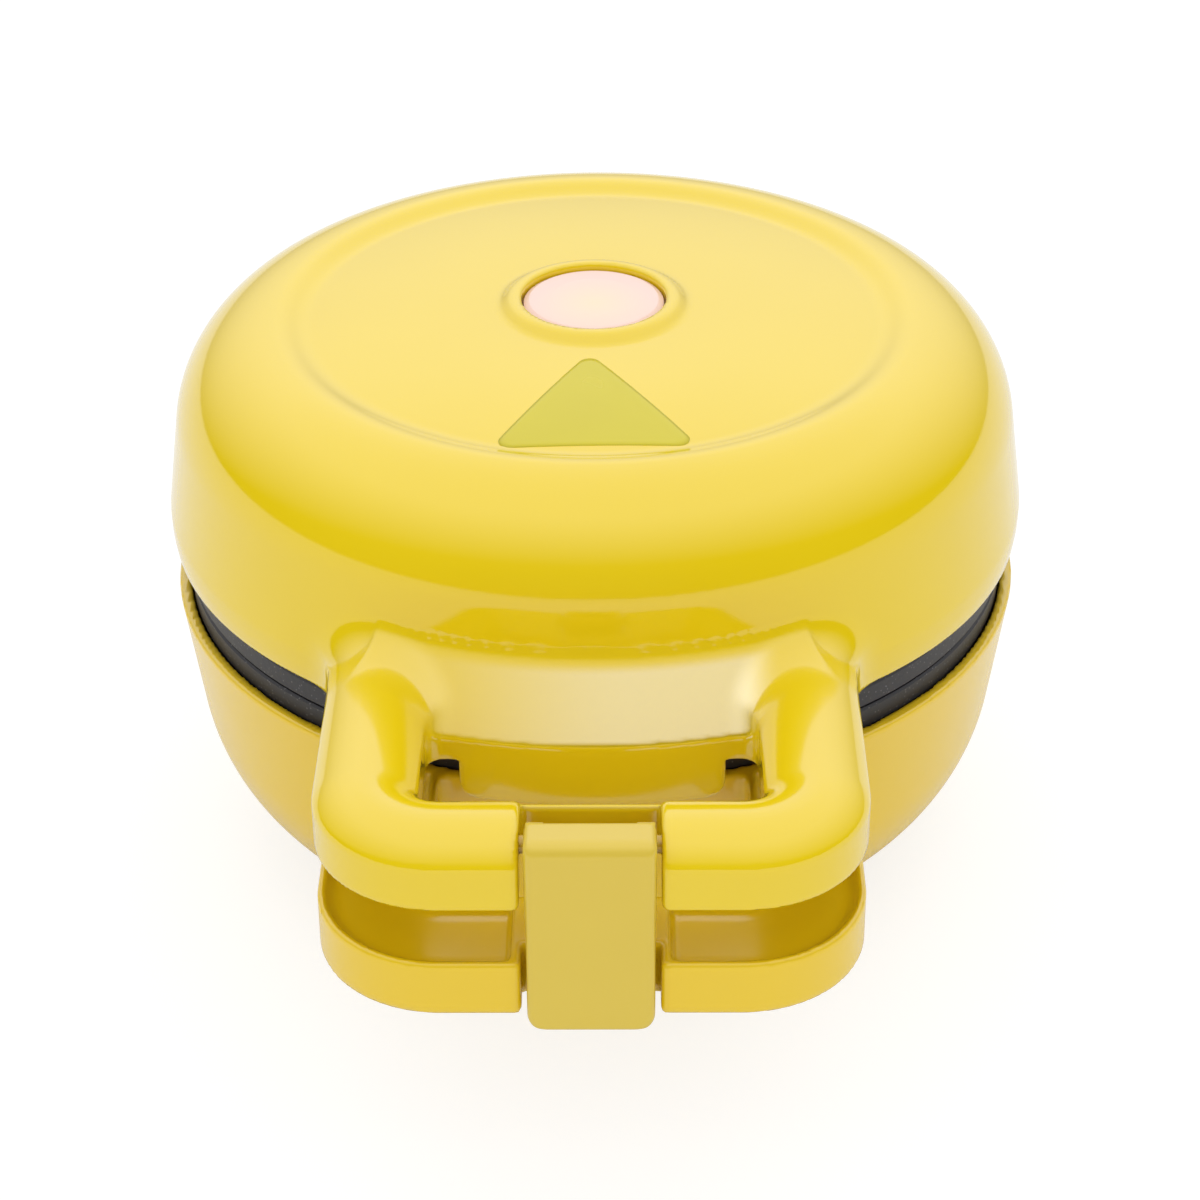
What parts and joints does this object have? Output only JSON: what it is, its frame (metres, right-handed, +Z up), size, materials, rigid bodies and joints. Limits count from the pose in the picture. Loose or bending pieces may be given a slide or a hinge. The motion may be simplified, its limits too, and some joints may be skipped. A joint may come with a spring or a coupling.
{
  "type": "mini donut maker",
  "caption": "Round clamshell donut maker with cast ring-mould plates, a rear hinge, paired front handle loops and a swing latch.",
  "frame": {"origin": "centre of the outline's bounding rectangle, on the worktop under the feet", "axes": "+X to the right seen from the handle, +Y from the handle towards the hinge, +Z up"},
  "size_m": [0.1306, 0.1794, 0.0894],
  "materials": {
    "shell_plastic": "glossy moulded yellow",
    "clip_plastic": "satin moulded yellow",
    "plate_casting": "speckled charcoal non-stick coating",
    "element_steel": "dull heat-marked steel",
    "shield_metal": "thin bright sheet",
    "screw_steel": "zinc plated",
    "thermostat_metal": "satin",
    "sleeve_fabric": "woven glass sleeve",
    "block_plastic": "matte heat-resistant moulding",
    "lead_sleeve": "soft silicone",
    "gland_rubber": "matte",
    "foot_rubber": "matte",
    "lens_plastic": "milky translucent",
    "lamp_glass": "clear"
  },
  "bodies": {
    "base": {"base_shell": "shell_plastic", "bottom_cover": "shell_plastic", "feet": "foot_rubber", "cover_screws": "screw_steel", "lower_liner": "shield_metal", "lower_plate": "plate_casting", "lower_element": "element_steel", "lower_plate_screws": "screw_steel", "thermostat": "thermostat_metal", "thermal_fuse": "sleeve_fabric", "terminal_block": "block_plastic", "base_leads": "lead_sleeve", "cord_gland": "gland_rubber", "hinge_pins": "screw_steel"},
    "lid": {"lid_shell": "shell_plastic", "upper_liner": "shield_metal", "upper_plate": "plate_casting", "upper_element": "element_steel", "upper_plate_screws": "screw_steel", "indicator_lens": "lens_plastic", "lamp_holder": "block_plastic", "lamp": "lamp_glass", "holder_screws": "screw_steel", "lid_leads": "lead_sleeve", "latch_pin": "screw_steel"},
    "latch": {"latch_clip": "clip_plastic"}
  },
  "joints": [
    {"name": "lid_hinge", "type": "hinge", "parent": "base", "child": "lid", "pos_m": [0, 0.08525, 0.04925], "axis": [-1, 0, 0], "range_deg": [0, 100]},
    {"name": "latch_hinge", "type": "hinge", "parent": "lid", "child": "latch", "pos_m": [0, -0.08395, 0.0608], "axis": [-1, 0, 0], "range_deg": [0, 85]}
  ]
}
